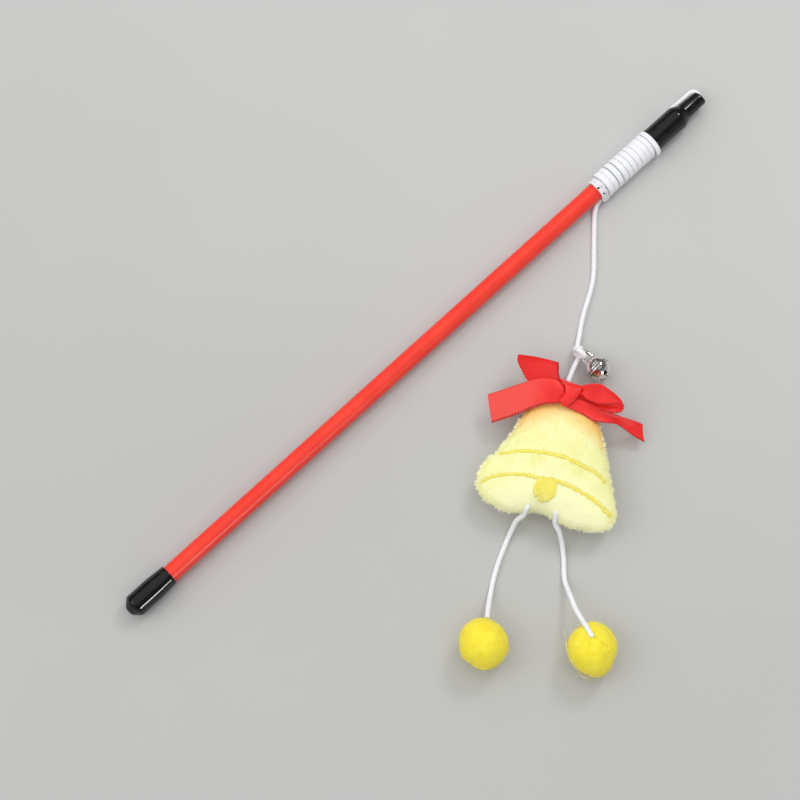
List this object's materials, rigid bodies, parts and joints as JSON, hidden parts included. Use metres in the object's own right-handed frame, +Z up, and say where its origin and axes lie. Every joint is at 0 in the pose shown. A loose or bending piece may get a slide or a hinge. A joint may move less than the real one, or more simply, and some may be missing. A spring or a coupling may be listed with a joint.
{
  "type": "cat teaser wand",
  "caption": "Red cat teaser wand with black end caps, wound white elastic cord, jingle bell, satin bow and a plush bell with pompom legs.",
  "frame": {"origin": "on the rod's axis, where the rod's end meets the closed end of the handle cap", "axes": "+X along the rod towards the nozzle, +Z up from the surface the toy lies on, the toy hangs on the -Y side"},
  "size_m": [0.322, 0.1547, 0.021],
  "materials": {
    "red_plastic": "glossy red extruded tube",
    "black_vinyl": "glossy dipped vinyl",
    "white_elastic": "round knitted elastic",
    "clear_elastic": "clear elastic band",
    "bell_chrome": "bright nickel plate",
    "pea_steel": "plain steel ball",
    "red_satin": "satin ribbon with picot edges",
    "pale_plush": "short pile plush",
    "white_stuffing": "polyester fibre",
    "gold_thread": "satin stitch",
    "yellow_pompom": "felted pompom"
  },
  "bodies": {
    "wand": {"rod_tube": "red_plastic", "handle_cap": "black_vinyl", "tip_cap": "black_vinyl", "tip_stop_knot": "white_elastic", "tip_cord": "white_elastic", "cord_winding": "white_elastic", "clear_band": "clear_elastic"},
    "line": {"hang_cord_upper": "white_elastic", "bell_knot": "white_elastic"},
    "jingle": {"bell_loop": "bell_chrome", "bell_upper_shell": "bell_chrome", "bell_lower_shell": "bell_chrome"},
    "pea": {"bell_pea": "pea_steel"},
    "toy": {"hang_cord_lower": "white_elastic", "toy_anchor_knot": "white_elastic", "bow_neck_wrap": "red_satin", "bow_knot": "red_satin", "bow_left_loop": "red_satin", "bow_left_tail": "red_satin", "bow_right_loop": "red_satin", "bow_right_tail": "red_satin", "plush_front": "pale_plush", "plush_back": "pale_plush", "plush_filling": "white_stuffing", "embroidered_arcs": "gold_thread", "embroidered_clapper": "gold_thread"},
    "leg_left": {"leg_cord_left": "white_elastic", "pompom_left": "yellow_pompom"},
    "leg_right": {"leg_cord_right": "white_elastic", "pompom_right": "yellow_pompom"}
  },
  "joints": [
    {"name": "line_swing", "type": "hinge", "parent": "wand", "child": "line", "pos_m": [0.25327, -0.00364, -0.00305], "axis": [0, 0, 1], "range_deg": [-8, 75]},
    {"name": "jingle_swing", "type": "hinge", "parent": "line", "child": "jingle", "pos_m": [0.20225, -0.04824, -0.00011], "axis": [0, 0, 1], "range_deg": [-20, 80]},
    {"name": "pea_rattle", "type": "slide", "parent": "jingle", "child": "pea", "axis": [0, 1, 0], "range_m": [-0.0012, 0.0012]},
    {"name": "toy_swing", "type": "hinge", "parent": "line", "child": "toy", "pos_m": [0.19997, -0.04664, -0.00235], "axis": [0, 0, 1], "range_deg": [-15, 12]},
    {"name": "leg_left_swing", "type": "hinge", "parent": "toy", "child": "leg_left", "pos_m": [0.13681, -0.07935, 0.00449], "axis": [0, 0, 1], "range_deg": [-20, 10]},
    {"name": "leg_right_swing", "type": "hinge", "parent": "toy", "child": "leg_right", "pos_m": [0.14379, -0.09037, 0.00449], "axis": [0, 0, 1], "range_deg": [-10, 30]}
  ]
}
